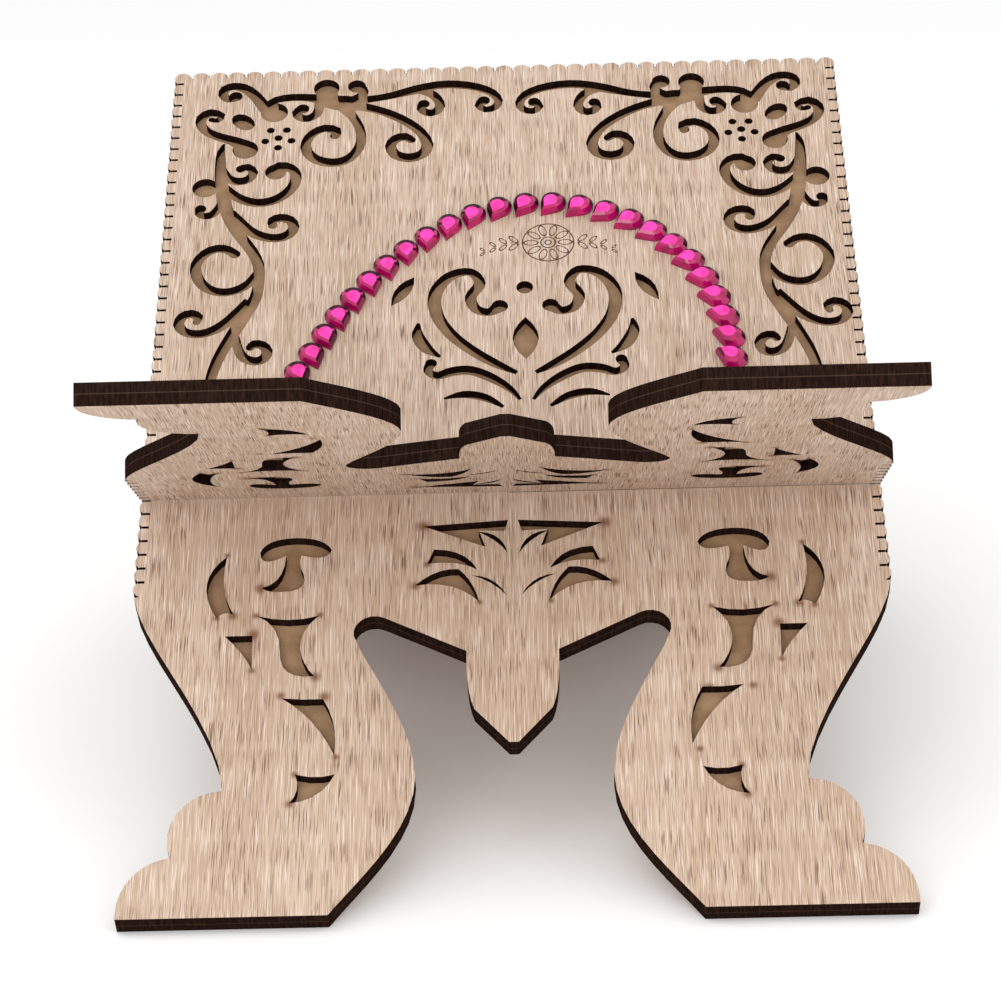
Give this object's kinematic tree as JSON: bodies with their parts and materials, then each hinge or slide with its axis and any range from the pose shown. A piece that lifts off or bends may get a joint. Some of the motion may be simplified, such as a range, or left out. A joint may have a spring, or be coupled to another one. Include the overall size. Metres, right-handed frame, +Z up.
{
  "type": "quran stand",
  "caption": "Folding book rest of slotted laminated boards crossing in an X, with scroll cut-outs, scalloped edges, arched legs and pear-shaped stones.",
  "frame": {"origin": "centre of the bounding box at its base, on the surface the stand rests on", "axes": "+X along the line where the boards cross, +Y from board A's feet at the front towards board B's top edge at the back, +Z up"},
  "size_m": [0.2, 0.2696, 0.1678],
  "materials": {
    "veneer": "matt veneer",
    "backing": "raw fibreboard",
    "stone": "polished"
  },
  "bodies": {
    "board_a": {"board_a_face": "veneer", "board_a_back": "backing", "stone_a_01": "stone", "stone_a_02": "stone", "stone_a_03": "stone", "stone_a_04": "stone", "stone_a_05": "stone", "stone_a_06": "stone", "stone_a_07": "stone", "stone_a_08": "stone", "stone_a_09": "stone", "stone_a_10": "stone", "stone_a_11": "stone", "stone_a_12": "stone", "stone_a_13": "stone", "stone_a_14": "stone", "stone_a_15": "stone", "stone_a_16": "stone", "stone_a_17": "stone", "stone_a_18": "stone", "stone_a_19": "stone", "stone_a_20": "stone", "stone_a_21": "stone", "stone_a_22": "stone", "stone_a_23": "stone", "stone_a_24": "stone", "stone_a_25": "stone", "stone_a_26": "stone", "stone_a_27": "stone"},
    "board_b": {"board_b_face": "veneer", "board_b_back": "backing", "stone_b_01": "stone", "stone_b_02": "stone", "stone_b_03": "stone", "stone_b_04": "stone", "stone_b_05": "stone", "stone_b_06": "stone", "stone_b_07": "stone", "stone_b_08": "stone", "stone_b_09": "stone", "stone_b_10": "stone", "stone_b_11": "stone", "stone_b_12": "stone", "stone_b_13": "stone", "stone_b_14": "stone", "stone_b_15": "stone", "stone_b_16": "stone", "stone_b_17": "stone", "stone_b_18": "stone", "stone_b_19": "stone", "stone_b_20": "stone", "stone_b_21": "stone", "stone_b_22": "stone", "stone_b_23": "stone", "stone_b_24": "stone", "stone_b_25": "stone", "stone_b_26": "stone", "stone_b_27": "stone"}
  },
  "joints": [
    {"name": "crossing", "type": "hinge", "parent": "board_a", "child": "board_b", "pos_m": [0, -0.01171, 0.07674], "axis": [-1, 0, 0], "range_deg": [0, 60]}
  ]
}
